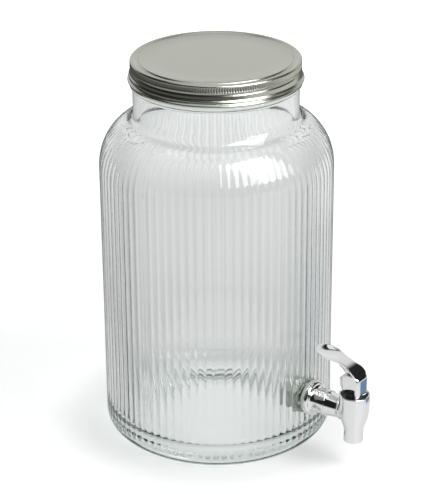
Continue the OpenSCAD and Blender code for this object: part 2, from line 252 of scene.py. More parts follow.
def object_of(bm, name):
    """Makes a plain object of a bmesh."""
    mesh = bpy.data.meshes.new(name)
    bm.to_mesh(mesh)
    bm.free()
    made = bpy.data.objects.new(name, mesh)
    bpy.context.scene.collection.objects.link(made)
    return made


def finished(bm, name, material, body, nodes, sharp, place=None):
    """Makes a piece of a bmesh in millimetres: in its place, on its body, creased at sharp degrees."""
    if place is not None:
        placed(bm, place)
    placed(bm, Matrix.Scale(MM, 4))
    for face in bm.faces:
        face.smooth = True
    creases = set(sharp_edges(bm, sharp))
    for edge in bm.edges:
        edge.smooth = edge not in creases
    piece = object_of(bm, name)
    piece.data.materials.append(bpy.data.materials[material])
    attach(piece, body)
    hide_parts(*nodes)
    return piece


def combined(base, *others):
    """The bmesh left after each (operation, bmesh) in turn is applied to the base bmesh."""
    target = object_of(base, "blank")
    tools = [(operation, object_of(bm, "tool")) for operation, bm in others]
    for operation, tool in tools:
        step = target.modifiers.new(operation, "BOOLEAN")
        step.operation = operation
        step.solver = "MANIFOLD"
        step.object = tool
    depsgraph = bpy.context.evaluated_depsgraph_get()
    result = bmesh.new()
    result.from_mesh(target.evaluated_get(depsgraph).to_mesh())
    for leftover in [target] + [tool for _, tool in tools]:
        mesh = leftover.data
        bpy.data.objects.remove(leftover)
        bpy.data.meshes.remove(mesh)
    bmesh.ops.remove_doubles(result, verts=result.verts, dist=BOOLEAN_GAP)
    return result


# ---- Materials ------------------------------------------------------------

def cleared(owner):
    """The empty node tree of a material or a world."""
    owner.use_nodes = True
    owner.node_tree.nodes.clear()
    return owner.node_tree


def feed(node, inputs):
    """Sets each of these inputs of a node to its value, or links it to its socket."""
    for name, value in inputs.items():
        if isinstance(value, bpy.types.NodeSocket):
            node.id_data.links.new(value, node.inputs[name])
        else:
            node.inputs[name].default_value = value


def add_node(tree, kind, inputs=(), **settings):
    """Adds a shader node with these settings and inputs."""
    node = tree.nodes.new("ShaderNode" + kind)
    for name, value in settings.items():
        setattr(node, name, value)
    feed(node, dict(inputs))
    return node


def surface_wander_group():
    """A group that gives a slow and a fine variation of a surface, as a colour, a roughness and a height."""
    name = "Surface Wander"
    if name in bpy.data.node_groups:
        return bpy.data.node_groups[name]
    tree = bpy.data.node_groups.new(name, "ShaderNodeTree")
    sides = {"INPUT": ("Color", "Shade", "Roughness", "Spread", "Coarse Scale", "Fine Scale"),
             "OUTPUT": ("Color", "Roughness", "Height")}
    for side, labels in sides.items():
        for label in labels:
            kind = "NodeSocketColor" if label == "Color" else "NodeSocketFloat"
            tree.interface.new_socket(name=label, in_out=side, socket_type=kind)
    given = tree.nodes.new("NodeGroupInput").outputs
    place = add_node(tree, "TexCoord").outputs["Object"]
    coarse = add_node(tree, "TexNoise", {"Vector": place, "Scale": given["Coarse Scale"], "Detail": 3})
    fine = add_node(tree, "TexNoise", {"Vector": place, "Scale": given["Fine Scale"], "Detail": 2})
    centred = add_node(tree, "Math", {0: coarse.outputs["Fac"], 1: 0.5}, operation="SUBTRACT").outputs[0]
    shade = add_node(tree, "Math", {0: centred, 1: given["Shade"], 2: 1.0}, operation="MULTIPLY_ADD")
    tint = add_node(tree, "VectorMath", {0: given["Color"], "Scale": shade.outputs[0]}, operation="SCALE")
    rough = add_node(tree, "Math", {0: centred, 1: given["Spread"], 2: given["Roughness"]},
                     operation="MULTIPLY_ADD")
    feed(tree.nodes.new("NodeGroupOutput"), {"Color": tint.outputs["Vector"], "Roughness": rough.outputs[0],
                                             "Height": fine.outputs["Fac"]})
    return tree


def bare_material(name):
    """Makes a material and gives its tree, its Principled shader and the output that shows the shader."""
    tree = cleared(bpy.data.materials.new(name))
    shader = add_node(tree, "BsdfPrincipled")
    output = add_node(tree, "OutputMaterial", {"Surface": shader.outputs["BSDF"]})
    return tree, shader, output


def surface(name, color, roughness, shade, spread, coarse, fine, bump, bump_depth=0.05 * MM, metallic=0.0):
    """Makes a material whose colour, roughness and relief wander a little, and gives its shader."""
    tree, shader, _ = bare_material(name)
    wander = add_node(tree, "Group", node_tree=surface_wander_group())
    feed(wander, {"Color": (*color, 1), "Shade": shade, "Roughness": roughness, "Spread": spread,
                  "Coarse Scale": coarse, "Fine Scale": fine})
    made = wander.outputs
    relief = add_node(tree, "Bump", {"Height": made["Height"], "Strength": bump, "Distance": bump_depth})
    feed(shader, {"Base Color": made["Color"], "Roughness": made["Roughness"],
                  "Normal": relief.outputs["Normal"], "Metallic": metallic})
    return shader


def glass_material(settings):
    """Clear pressed glass, a little green in its depth, with the slow waves of a moulded surface."""
    tree, shader, output = bare_material("Pressed Glass")
    place = add_node(tree, "TexCoord").outputs["Object"]
    waves = add_node(tree, "TexNoise", {"Vector": place, "Scale": 55.0, "Detail": 1.5})
    relief = add_node(tree, "Bump", {"Height": waves.outputs["Fac"], "Strength": 0.35, "Distance": 0.35 * MM})
    feed(shader, {"Base Color": (*settings.glass, 1), "Roughness": 0.0, "IOR": 1.5,
                  "Transmission Weight": 1.0, "Normal": relief.outputs["Normal"]})
    shadow = add_node(tree, "BsdfTransparent", {"Color": (0.80, 0.81, 0.805, 1)})
    seen = add_node(tree, "MixShader", {"Fac": add_node(tree, "LightPath").outputs["Is Shadow Ray"],
                                        1: shader.outputs["BSDF"], 2: shadow.outputs["BSDF"]})
    depth = add_node(tree, "VolumeAbsorption", {"Color": (0.70, 0.80, 0.77, 1), "Density": 15.0})
    feed(output, {"Surface": seen.outputs["Shader"], "Volume": depth.outputs["Volume"]})


def lid_material(settings):
    """Satin tinplate: a warm grey metal with a soft, slightly uneven sheen."""
    surface("Satin Tinplate", settings.lid, 0.25, shade=0.05, spread=0.06, coarse=35.0, fine=2600.0,
            bump=0.12, bump_depth=0.02 * MM, metallic=1.0)


def plating_material(settings):
    """Chrome plate on moulded plastic: mirror-bright, with faint waves from the moulding under it."""
    surface("Chrome Plate", settings.plating, 0.05, shade=0.02, spread=0.05, coarse=120.0, fine=260.0,
            bump=0.04, bump_depth=0.03 * MM, metallic=1.0)


def seal_material(settings):
    """Grey-white silicone, a little translucent."""
    shader = surface("Silicone", settings.seals, 0.45, shade=0.08, spread=0.10, coarse=180.0, fine=3000.0,
                     bump=0.2)
    feed(shader, {"Subsurface Weight": 0.25, "Subsurface Scale": 1.0,
                  "Subsurface Radius": (0.002, 0.002, 0.0018)})


def plastic_material(name, color, roughness):
    """Moulded plastic with a fine, even grain."""
    surface(name, color, roughness, shade=0.06, spread=0.08, coarse=150.0, fine=2200.0, bump=0.25)


def wire_material():
    """Drawn spring steel."""
    surface("Spring Steel", (0.58, 0.57, 0.55), 0.28, shade=0.15, spread=0.12, coarse=400.0, fine=4000.0,
            bump=0.2, metallic=1.0)


class DISPENSER_OT_finishes(bpy.types.Operator):
    """Make the materials of the pieces"""
    bl_idname = "dispenser.finishes"
    bl_label = "Finishes"

    def execute(self, context):
        for make in (plating_material, seal_material, glass_material, lid_material):
            make(context.scene.dispenser_finish)
        plastic_material("Nut Plastic", (0.42, 0.45, 0.42), 0.45)
        plastic_material("Bonnet Plastic", (0.03, 0.032, 0.034), 0.40)
        plastic_material("Stem Plastic", (0.55, 0.55, 0.52), 0.42)
        wire_material()
        return {"FINISHED"}


# ---- Jar ------------------------------------------------------------------

HEEL_R = 12.0
ROOT_R = 17.0
PUSH_UP = 4.0
FLOOR_T = 7.0
FOOT_R = 64.0
SHOULDER_R = 32.0
NECK_BLEND = 4.2
RING_H = 3.0
RING_R = 62.5
LIP_Z = JAR_HIGH.z
LIP_ROUND = 1.2
LEDGE_Z = LIP_Z - 13.0
FLUTE_FOOT_Z = 11.5
FLUTE_ROUND = 3.2
FLUTE_TOP_Z = 247.0
FLUTE_FADE = 24.0
COLUMNS_PER_FLUTE = 8
SEAM_HEIGHT = 0.22
SEAM_COLUMNS = 1.6
SEAM_FILL = 0.6
SEAM_END = (243.0, 253.0)
THREAD_R = 1.25
PAD_R = 13.0
HOLE_R = 8.75
PAD_DEPTH = 1.8
PAD_PROUD = 0.6


def jar_outside(jar):
    """The outside of the glass, from the middle of the base up to the lip."""
    body, neck, finish = jar.body_radius, jar.neck_radius, jar.finish_radius
    centre = body - SHOULDER_R
    top = math.degrees(math.acos((neck + NECK_BLEND - centre) / SHOULDER_R))
    shoulder = ellipse(centre, jar.shoulder_z, SHOULDER_R, jar.shoulder_rise, 0, top, 24)
    blend_r, blend_z = shoulder[-1]
    ring_z = LEDGE_Z - RING_H
    return (
        [(0, PUSH_UP), (30, PUSH_UP), (FOOT_R - 6, PUSH_UP - 0.4), (FOOT_R - 3, 1.6)]
        + [(FOOT_R - 1, 0.3), (FOOT_R + 1, 0), (body - HEEL_R - 2, 0)]
        + arc(body - HEEL_R, HEEL_R, HEEL_R, -84, 0, 12)
        + [(body, FLUTE_FOOT_Z + FLUTE_ROUND * f) for f in (0.16, 0.3, 0.5, 0.75, 1.0)]
        + [(body, ARM_Z - 16), (body, ARM_Z + 16), (body, 130), (body, 180)]
        + shoulder
        + cubic([shoulder[-1], (blend_r - 2.3, blend_z + 0.9), (neck, blend_z + 2.4), (neck, blend_z + 7)],
                7)[1:]
        + [(neck, ring_z - 2.2), (neck + 0.3, ring_z - 1.0), (neck + 0.9, ring_z - 0.1)]
        + arc(RING_R - RING_H / 2, LEDGE_Z - RING_H / 2, RING_H / 2, -55, 70, 6)
        + [(RING_R - 2, LEDGE_Z + 0.1), (finish + 0.4, LEDGE_Z + 0.3)]
        + line((finish, LEDGE_Z + 0.7), (finish, LIP_Z - 1.6), 16)
        + arc(finish - LIP_ROUND, LIP_Z - LIP_ROUND, LIP_ROUND, 10, 90, 4)
    )


def jar_inside(jar):
    """The inside of the glass, from the lip down to the middle of the floor."""
    inner, mouth = jar.body_radius - jar.wall, jar.mouth_radius
    shoulder = ellipse(inner - SHOULDER_R, jar.shoulder_z, SHOULDER_R, jar.shoulder_rise - 3.5, 62, 0, 14)
    root_r, root_z = shoulder[0]
    floor_z = PUSH_UP + FLOOR_T
    return (
        arc(mouth + LIP_ROUND, LIP_Z - LIP_ROUND, LIP_ROUND, 90, 180, 4)
        + cubic([(mouth, root_z + 16), (mouth, root_z + 6), (root_r - 4.4, root_z + 2.4), shoulder[0]],
                10)[:-1]
        + shoulder
        + [(inner, ARM_Z + 16), (inner, ARM_Z - 16)]
        + arc(inner - ROOT_R, floor_z + ROOT_R - 2, ROOT_R, 0, -90, 12)
        + [(inner - ROOT_R - 12, floor_z - 1.2), (30, floor_z - 0.2), (0, floor_z)]
    )


def flute_strength(z):
    """How deep the flutes are at a height: round-ended at the foot, fading out on the shoulder."""
    foot = min(1.0, max(0.0, (z - FLUTE_FOOT_Z) / FLUTE_ROUND))
    head = 1 - fade(z, FLUTE_TOP_Z - FLUTE_FADE, FLUTE_TOP_Z)
    return math.sqrt(1 - (1 - foot) ** 2) * head


def wall_middle(jar, z):
    """The radius half-way through the glass at a height above the heel."""
    if z > jar.shoulder_z + jar.shoulder_rise - 1:
        return (jar.mouth_radius + jar.finish_radius) / 2
    rise = min(1.0, max(0.0, (z - jar.shoulder_z) / (jar.shoulder_rise - 1.7)))
    return jar.body_radius - jar.wall / 2 - SHOULDER_R + SHOULDER_R * math.sqrt(1 - rise * rise)


def jar_relief(jar, angle, radius, z):
    """How far the flutes, the two mould seams and the screw thread stand out of the jar's outline."""
    if z <= FLUTE_FOOT_Z or radius <= wall_middle(jar, z):
        return 0.0
    push = 0.0
    if z < FLUTE_TOP_Z:
        depth = jar.flute_depth * flute_strength(z)
        across = (angle / TAU * jar.flutes) % 1.0 * 2 - 1
        push -= depth * across * across * min(1.0, radius / jar.body_radius)
        seam_columns = min(abs(angle), math.pi - abs(angle)) / TAU * jar.flutes * COLUMNS_PER_FLUTE
        if seam_columns < SEAM_COLUMNS and z > FLUTE_FOOT_Z + FLUTE_ROUND:
            push += SEAM_HEIGHT * (1 - fade(z, *SEAM_END)) + depth * SEAM_FILL
            push = min(push, jar.body_radius - radius)
    if z > LEDGE_Z + 0.6 and abs(radius - jar.finish_radius) < 0.3:
        push += THREAD_R * thread(angle, z, top_z=LIP_Z - 2.6, pitch=5.08, turns=1.25, half=1.5, run_out=0.35,
                                  power=1)
    return push


def rod(radius, start, end):
    """A cylinder along the tap's arm, between two distances from the jar's axis."""
    bm = bmesh.new()
    bmesh.ops.create_cone(bm, cap_ends=True, segments=96, radius1=radius, radius2=radius, depth=end - start)
    return placed(bm, ALONG_ARM @ Matrix.Translation((0, 0, (start + end) / 2)))


class DISPENSER_OT_jar(bpy.types.Operator):
    """Spin the glass jar and press its flutes, seams and screw thread"""
    bl_idname = "dispenser.jar"
    bl_label = "Glass Jar"

    def execute(self, context):
        jar = context.scene.dispenser_jar
        blank = spun(jar_outside(jar) + jar_inside(jar), jar.flutes * COLUMNS_PER_FLUTE)
        inside_y = jar.body_radius - jar.wall - PAD_DEPTH
        outside_y = jar.body_radius + PAD_PROUD
        bm = combined(
            pressed(blank, jar_relief, jar),
            ("UNION", rod(PAD_R, inside_y, outside_y)),
            ("DIFFERENCE", rod(HOLE_R, inside_y - 1, outside_y + 1)),
        )
        finished(bm, "jar_glass", "Pressed Glass", "jar", ["glass_jar"], sharp=48)
        return {"FINISHED"}


# ---- Lid ------------------------------------------------------------------

SHEET_T = 0.6
LID_R = 61.8
PANEL_R = 54.6
LID_TOP = LID_HIGH.z
LID_BOTTOM = LID_LOW.z
GRIP_TOP = LID_TOP - 1.3
GRIP_BOTTOM = LID_TOP - 5.4
RIDGE_END = 0.6
COLUMNS_PER_RIDGE = 5
THREAD_START = math.radians(-35)


def lid_outside():
    """The outside of the sheet, from the middle of the panel to the bottom curl."""
    channel_z = LID_TOP - 1.25
    return (
        [(0, LID_TOP - 0.62), (20, LID_TOP - 0.64), (40, LID_TOP - 0.68), (PANEL_R - 1.6, LID_TOP - 0.72)]
        + arc(PANEL_R, LID_TOP - 1.15, 0.95, 118, 30, 6)
        + [(PANEL_R + 1.4, channel_z), (LID_R - 5.0, channel_z + 0.08)]
        + [(LID_R - 4.2, channel_z + 0.42), (LID_R - 3.2, LID_TOP - 0.25)]
        + arc(LID_R - 1.9, LID_TOP - 1.9, 1.9, 105, 8, 9)
        + line((LID_R, GRIP_TOP), (LID_R, GRIP_BOTTOM), 6)
        + [(LID_R - 0.15, GRIP_BOTTOM - 0.35), (LID_R - 0.5, GRIP_BOTTOM - 0.8)]
        + [(LID_R - 0.62, GRIP_BOTTOM - 1.4), (LID_R - 0.5, GRIP_BOTTOM - 1.9)]
        + line((LID_R - 0.1, GRIP_BOTTOM - 2.4), (LID_R + 0.35, LID_BOTTOM + 2.4), 16)
        + [(LID_R + 0.7, LID_BOTTOM + 2.0), (LID_R + 1.0, LID_BOTTOM + 1.75)]
        + arc(LID_R + 1.0, LID_BOTTOM + 0.8, 0.8, 70, -90, 8)
    )


def lid_inside():
    """The inside of the sheet, from the curl back to the middle of the panel."""
    inner = LID_R - SHEET_T
    return (
        [(LID_R - 0.3, LID_BOTTOM + 0.1), (LID_R - 0.35, LID_BOTTOM + 1.2)]
        + line((LID_R - 0.35, LID_BOTTOM + 1.2), (inner - 0.6, GRIP_BOTTOM - 1.9), 3)
        + [(inner - 0.75, GRIP_BOTTOM - 1.0), (inner, GRIP_BOTTOM), (inner, GRIP_TOP)]
        + [(LID_R - 1.2, LID_TOP - 1.0), (LID_R - 2.2, LID_TOP - SHEET_T), (LID_R - 3.2, LID_TOP - 0.95)]
        + [(LID_R - 5.0, LID_TOP - 1.85), (PANEL_R + 1.0, LID_TOP - 1.85), (PANEL_R - 0.8, LID_TOP - 1.35)]
        + [(30, LID_TOP - 1.28), (0, LID_TOP - 1.22)]
    )


def lid_relief(lid, angle, radius, z):
    """How far the grip ridges and the rolled thread stand out of the lid's outline."""
    if radius < LID_R - 2.2:
        return 0.0
    if GRIP_BOTTOM < z < GRIP_TOP and radius > LID_R - 0.3:
        wave = 0.5 + 0.5 * math.cos(angle * lid.ridges)
        ends = fade(z, GRIP_TOP, GRIP_TOP - RIDGE_END) * fade(z, GRIP_BOTTOM, GRIP_BOTTOM + RIDGE_END)
        return -lid.ridge_depth * wave * ends
    if LID_BOTTOM + 2.4 <= z <= GRIP_BOTTOM - 2.2:
        return lid.thread_depth * thread(angle - THREAD_START, z, top_z=GRIP_BOTTOM - 3.0,
                                         pitch=lid.thread_pitch, turns=1.15, half=1.6, run_out=0.25, power=2)
    return 0.0


class DISPENSER_OT_lid(bpy.types.Operator):
    """Press the metal lid with its panel, grip ridges, rolled thread and curl"""
    bl_idname = "dispenser.lid"
    bl_label = "Lid"

    def execute(self, context):
        lid = context.scene.dispenser_lid
        blank = spun(lid_outside() + lid_inside(), lid.ridges * COLUMNS_PER_RIDGE)
        bm = pressed(blank, lid_relief, lid)
        finished(bm, "lid_cap", "Satin Tinplate", "lid", ["lid_shell"], sharp=60)
        return {"FINISHED"}


# ---- Tap ------------------------------------------------------------------

RIM_Z = ARM_Z + 15.7
SEAT_Z = ARM_Z - 8.3
OUTLET_Z = ARM_Z - 22.8
BARREL_R = 11.4
OUTLET_R = 7.3
RECESS_R = 10.2
ARM_R = 9.1
JOINT_Y = 104.5
TAIL_END_Y = 66.0
TAIL_R = 8.0
TAIL_BORE_R = 5.2
FIT = 0.05
RING_STEPS = 96


def barrel_outside():
    """The outside of the barrel, from the outlet up to the rim."""
    belly = (OUTLET_R + 2.8, SEAT_Z + 4.5)
    return (
        [(OUTLET_R - 0.9, OUTLET_Z)]
        + arc(OUTLET_R - 0.45, OUTLET_Z + 0.45, 0.45, -90, 0, 4)
        + [(OUTLET_R - 0.05, OUTLET_Z + 3), (OUTLET_R - 0.15, SEAT_Z - 5.6)]
        + cubic([(OUTLET_R - 0.1, SEAT_Z - 5), (OUTLET_R + 0.5, SEAT_Z - 1.8), (OUTLET_R + 2, SEAT_Z + 1.5),
                 belly], 8)
        + cubic([belly, (BARREL_R - 0.6, SEAT_Z + 7.5), (BARREL_R - 0.15, SEAT_Z + 12),
                 (BARREL_R, RIM_Z - 3)], 10)[1:]
        + arc(BARREL_R - 0.55, RIM_Z - 0.55, 0.55, 0, 90, 5)
    )


def barrel_inside():
    """The inside of the barrel, from the rim down through the chamber to the outlet."""
    return [
        (RECESS_R + 0.25, RIM_Z), (RECESS_R, RIM_Z - 0.4), (RECESS_R, RIM_Z - 5.4), (8.6, RIM_Z - 5.4),
        (8.6, RIM_Z - 10), (7.6, RIM_Z - 10), (7.6, SEAT_Z + 8), (6.4, SEAT_Z), (4.6, SEAT_Z),
        (4.6, SEAT_Z - 2), (5.6, SEAT_Z - 3), (5.6, OUTLET_Z + 0.3),
    ]


def arm_tube():
    """The arm from its joint with the collar into the barrel, and the tail that runs back through the jar."""
    outline = (
        [(TAIL_BORE_R, TAIL_END_Y), (TAIL_R - 0.6, TAIL_END_Y), (TAIL_R, TAIL_END_Y + 0.6), (TAIL_R, JOINT_Y)]
        + [(ARM_R, JOINT_Y), (ARM_R + 0.1, JOINT_Y + 0.3), (ARM_R - 0.15, JOINT_Y + 0.8)]
        + line((ARM_R - 0.15, JOINT_Y + 0.8), (ARM_R - 1.35, BARREL_Y - 12.5), 4)
        + [(ARM_R - 1.4, BARREL_Y - 11.6), (ARM_R - 1.2, BARREL_Y - 10.6), (ARM_R - 0.8, BARREL_Y - 9.9)]
        + [(ARM_R - 0.8, BARREL_Y - 8.8), (TAIL_BORE_R, BARREL_Y - 8.8)]
    )
    return placed(spun(outline, RING_STEPS), ALONG_ARM)


class DISPENSER_OT_tap_body(bpy.types.Operator):
    """Build the tap's barrel, arm and threaded tail"""
    bl_idname = "dispenser.tap_body"
    bl_label = "Tap Body"

    def execute(self, context):
        barrel = placed(spun(barrel_outside() + barrel_inside(), RING_STEPS), ON_BARREL)
        bm = combined(barrel, ("UNION", arm_tube()), ("DIFFERENCE", rod(TAIL_BORE_R, JOINT_Y, BARREL_Y)))
        finished(bm, "tap_barrel", "Chrome Plate", "jar", ["tap_body"], sharp=40)
        return {"FINISHED"}


class DISPENSER_OT_collar(bpy.types.Operator):
    """Turn the flanged collar between the arm's joint and the glass"""
    bl_idname = "dispenser.collar"
    bl_label = "Tap Collar"

    def execute(self, context):
        back = -COLLAR_HIGH.y
        flange = COLLAR_HIGH.x
        sleeve = (9.35, back + 6.2)
        outline = (
            [(TAIL_R + FIT, back), (flange - 0.8, back)]
            + arc(flange - 0.7, back + 0.7, 0.7, -90, 0, 4)
            + [(flange, back + 1.5)]
            + arc(flange - 1.5, back + 2.2, 1.5, 0, 72, 6)
            + cubic([(flange - 1.2, back + 3.7), (10.4, back + 4.0), (9.5, back + 4.6), sleeve], 6)
            + line(sleeve, (9.55, JOINT_Y - 1.6), 4)
            + arc(9.35, JOINT_Y - 0.55, 0.5, 60, -10, 4)
            + [(9.55, JOINT_Y - FIT), (TAIL_R + FIT, JOINT_Y - FIT)]
        )
        finished(spun(outline, RING_STEPS), "tap_flange", "Chrome Plate", "jar", ["tap_collar"],
                 sharp=35, place=ALONG_ARM)
        return {"FINISHED"}


class DISPENSER_OT_nut(bpy.types.Operator):
    """Cut the lock nut that holds the tap inside the jar"""
    bl_idname = "dispenser.nut"
    bl_label = "Lock Nut"

    def execute(self, context):
        front, back = -NUT_LOW.y, -NUT_HIGH.y
        flange_z, flange_r, hexagon_r = front - 1.5, 14.0, 13.6
        hexagon = bmesh.new()
        bmesh.ops.create_cone(hexagon, cap_ends=True, segments=6, radius1=hexagon_r, radius2=hexagon_r,
                              depth=flange_z - back)
        rounded(hexagon, hexagon.edges[:], 0.5)
        placed(hexagon, ALONG_ARM @ Matrix.Translation((0, 0, (flange_z + back) / 2)))
        flange = spun([(0, flange_z), (flange_r - 0.6, flange_z), (flange_r, flange_z + 0.5),
                       (flange_r, front - 0.3), (flange_r - 0.3, front), (0, front)], RING_STEPS)
        bm = combined(hexagon, ("UNION", placed(flange, ALONG_ARM)),
                      ("DIFFERENCE", rod(TAIL_R + FIT, back - 1, front + 1)))
        finished(bm, "tap_nut", "Nut Plastic", "jar", ["lock_nut"], sharp=35)
        return {"FINISHED"}


VALVE_TOP_Z = ARM_Z + 6.9
SPRING_FOOT_Z = VALVE_TOP_Z - 11.8
SPRING_R = 3.7
SPRING_TURNS = 6
SPRING_STEPS = 32
WIRE_R = 0.38
WIRE_GAP = 0.1
CUP_FOOT_Z = VALVE_TOP_Z - 15.2
CUP_R = 5.6
CUP_WALL = 0.8
CUP_RIM_R = 8.5
CUP_RIM_T = 1.2


def coil():
    """The return spring: a round wire wound up from the spring's foot to its top."""
    bm = bmesh.new()
    bmesh.ops.create_circle(bm, cap_ends=False, segments=12, radius=WIRE_R)
    foot_z = SPRING_FOOT_Z + WIRE_R + WIRE_GAP
    placed(bm, Matrix.Translation((SPRING_R, 0, foot_z)) @ Matrix.Rotation(math.pi / 2, 4, "X"))
    rise = VALVE_TOP_Z - SPRING_FOOT_Z - 2 * (WIRE_R + WIRE_GAP)
    steps = SPRING_TURNS * SPRING_STEPS
    bmesh.ops.spin(bm, geom=bm.verts[:] + bm.edges[:], cent=(0, 0, 0), axis=UP, angle=TAU * SPRING_TURNS,
                   dvec=(0, 0, rise / steps), steps=steps)
    bmesh.ops.holes_fill(bm, edges=bm.edges, sides=12)
    bmesh.ops.recalc_face_normals(bm, faces=bm.faces)
    return bm


def cup_outline():
    """The seat cup in a side view: a closed foot, a wall with one fold, and a rim under the bonnet."""
    low, rim_z = CUP_FOOT_Z, VALVE_TOP_Z - CUP_RIM_T
    fold = [(CUP_R + 0.15, low + 10.3), (CUP_R + 0.55, low + 10.8), (CUP_R + 0.55, low + 11.2),
            (CUP_R + 0.15, low + 11.7)]
    wall = [(CUP_R, low + 9.8)] + fold + [(CUP_R, low + 12.2)]
    inner = CUP_R - CUP_WALL
    return (
        [(0, low), (4, low), (5.3, low + 0.1), (CUP_R, low + 0.5)] + wall
        + [(CUP_R, rim_z), (CUP_RIM_R, rim_z), (CUP_RIM_R, VALVE_TOP_Z), (inner, VALVE_TOP_Z)]
        + [(r - CUP_WALL, z) for r, z in reversed(wall)]
        + [(inner, low + 2.5), (4.5, low + 2.2), (0, low + 2.2)]
    )


def shorten(piece):
    """Gives a piece of the valve its own copy of its mesh."""
    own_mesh(piece)


class DISPENSER_OT_valve(bpy.types.Operator):
    """Wind the return spring and mould the folded seat cup"""
    bl_idname = "dispenser.valve"
    bl_label = "Spring and Cup"

    def execute(self, context):
        spring = finished(coil(), "valve_spring", "Spring Steel", "stem", ["return_spring"],
                          sharp=60, place=ON_BARREL)
        shorten(spring)
        cup = finished(spun(cup_outline(), RING_STEPS), "valve_cup", "Silicone", "stem",
                       ["seat_cup"], sharp=40, place=ON_BARREL)
        shorten(cup)
        return {"FINISHED"}


class DISPENSER_OT_inner_pieces(bpy.types.Operator):
    """Give the seals, bonnet, stem and pin their finishes"""
    bl_idname = "dispenser.inner_pieces"
    bl_label = "Seals and Valve"

    def execute(self, context):
        finish = {
            "Silicone": ["lid_seal", "outer_washer", "inner_washer"],
            "Bonnet Plastic": ["tap_bonnet"],
            "Stem Plastic": ["valve_stem"],
            "Spring Steel": ["lever_pin"],
        }
        for material, nodes in finish.items():
            for node in nodes:
                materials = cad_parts[node].data.materials
                materials.clear()
                materials.append(bpy.data.materials[material])
        return {"FINISHED"}


# ---- Lever ----------------------------------------------------------------

TIP_U = -33.5
TIP_ROUND = 9.5
TIP_HALF = 0.8
PLATE_HALF = 7.0
WAIST_HALF = 5.4
PADDLE_HALF = 8.45
BLADE_T = 1.5
PLATE_CROWN = 1.6
PADDLE_HOLLOW = 1.5
# Where the blade changes, in places along u and, for the crown, in degrees of lean
WAIST_TO_PLATE = (-5.0, 2.0)
WAIST_TO_PADDLE = (-8.0, -22.0)
CROWN_END = (12.0, 42.0)
HOLLOW_START = (-10.0, -23.0)
HOLLOW_END = (TIP_U + 0.3, TIP_U + 9.3)
BLADE_FOOT_Z = PIN_Z - 8.7
BLADE_FOOT = 0.2
BLADE_EDGE = ((6.2, PIN_Z + 4.1), (6.2, PIN_Z + 16.5), (-19.1, PIN_Z + 19.0), (TIP_U, PIN_Z + 21.6))
BLADE_ROWS = 72
BLADE_COLUMNS = 16
ROW_CROWDING = 1.35
HUB_HALF = 4.6
HEEL_U = -4.5
HUB_HEEL_R = 5.5
WEB_HALF = 1.5
WEB_START = 0.34
WEB_STEP = 0.03
WEB_STEPS = 12
SLOT_SIZE = (4.4, 9.4, 16)
SLOT_PLACE = (0, 1.3 - BARREL_Y, PIN_Z - 4)


def blade_line(t):
    """The blade's edge in a side view, from foot to tip, as (u forwards, z up) and the way it runs there."""
    if t < BLADE_FOOT:
        u, z = BLADE_EDGE[0]
        return (u, BLADE_FOOT_Z + (z - BLADE_FOOT_Z) * t / BLADE_FOOT), (0.0, 1.0)
    t = (t - BLADE_FOOT) / (1 - BLADE_FOOT)
    s = 1 - t
    steps = [(b[0] - a[0], b[1] - a[1]) for a, b in zip(BLADE_EDGE, BLADE_EDGE[1:])]
    return bezier(BLADE_EDGE, t), Vector(weighted(steps, (s * s, 2 * s * t, t * t))).normalized()


def blade_half_width(u):
    """Half the blade's width: a waist behind the bend, a wide paddle with a round tip."""
    wide = (WAIST_HALF + (PLATE_HALF - WAIST_HALF) * fade(u, *WAIST_TO_PLATE)
            + (PADDLE_HALF - WAIST_HALF) * fade(u, *WAIST_TO_PADDLE))
    round_off = min(1.0, max(0.0, (TIP_U + TIP_ROUND - u) / TIP_ROUND))
    return max(TIP_HALF, wide * math.sqrt(1 - round_off ** 2))


def blade_point(t, across, depth):
    """A point of the blade: t along it, across from -1 to 1, and depth under its outer face."""
    (u, z), (run_u, run_z) = blade_line(t)
    lean = math.degrees(math.atan2(-run_u, run_z))
    crown = PLATE_CROWN * (1 - fade(lean, *CROWN_END)) * (1 - across ** 4)
    hollow = PADDLE_HOLLOW * fade(u, *HOLLOW_START) * fade(u, *HOLLOW_END) * (1 - across ** 2)
    out = crown - hollow - depth
    return Vector((across * blade_half_width(u), -BARREL_Y - u - run_z * out, z - run_u * out))


def blade_mesh():
    """The blade: a grid with its rows closer at the tip, extruded and drawn on to its two faces."""
    bm = bmesh.new()
    bmesh.ops.create_grid(bm, x_segments=BLADE_COLUMNS, y_segments=BLADE_ROWS, size=1)
    outer = set(new_verts(bmesh.ops.extrude_face_region(bm, geom=bm.faces[:])))
    for vert in bm.verts:
        along_blade = 1 - (1 - (vert.co.y + 1) / 2) ** ROW_CROWDING
        vert.co = blade_point(along_blade, vert.co.x, 0.0 if vert in outer else BLADE_T)
    bmesh.ops.recalc_face_normals(bm, faces=bm.faces)
    return rounded(bm, sharp_edges(bm, 50), 0.5)


def side_extrusion(outline, half):
    """A slab of a side view, drawn as (u, z), across the lever, with its edges rounded."""
    bm = bmesh.new()
    face = bm.faces.new([bm.verts.new((-half, -BARREL_Y - u, z)) for u, z in outline])
    extruded = bmesh.ops.extrude_face_region(bm, geom=[face])
    bmesh.ops.translate(bm, vec=(2 * half, 0, 0), verts=new_verts(extruded))
    bmesh.ops.recalc_face_normals(bm, faces=bm.faces)
    return rounded(bm, sharp_edges(bm, 40), 0.4)


def hub_outline():
    """The hub behind the plate, with its round heel and sloping top."""
    return (
        arc(HEEL_U, PIN_Z, HUB_HEEL_R, 180, 270, 10)
        + [(7.4, PIN_Z - HUB_HEEL_R), (7.4, PIN_Z + 3.5), (6.2, PIN_Z + 7.4), (-3.0, PIN_Z + 7.9)]
        + [(-5.0, PIN_Z + 7.5), (HEEL_U - HUB_HEEL_R, PIN_Z + 4.9)]
    )


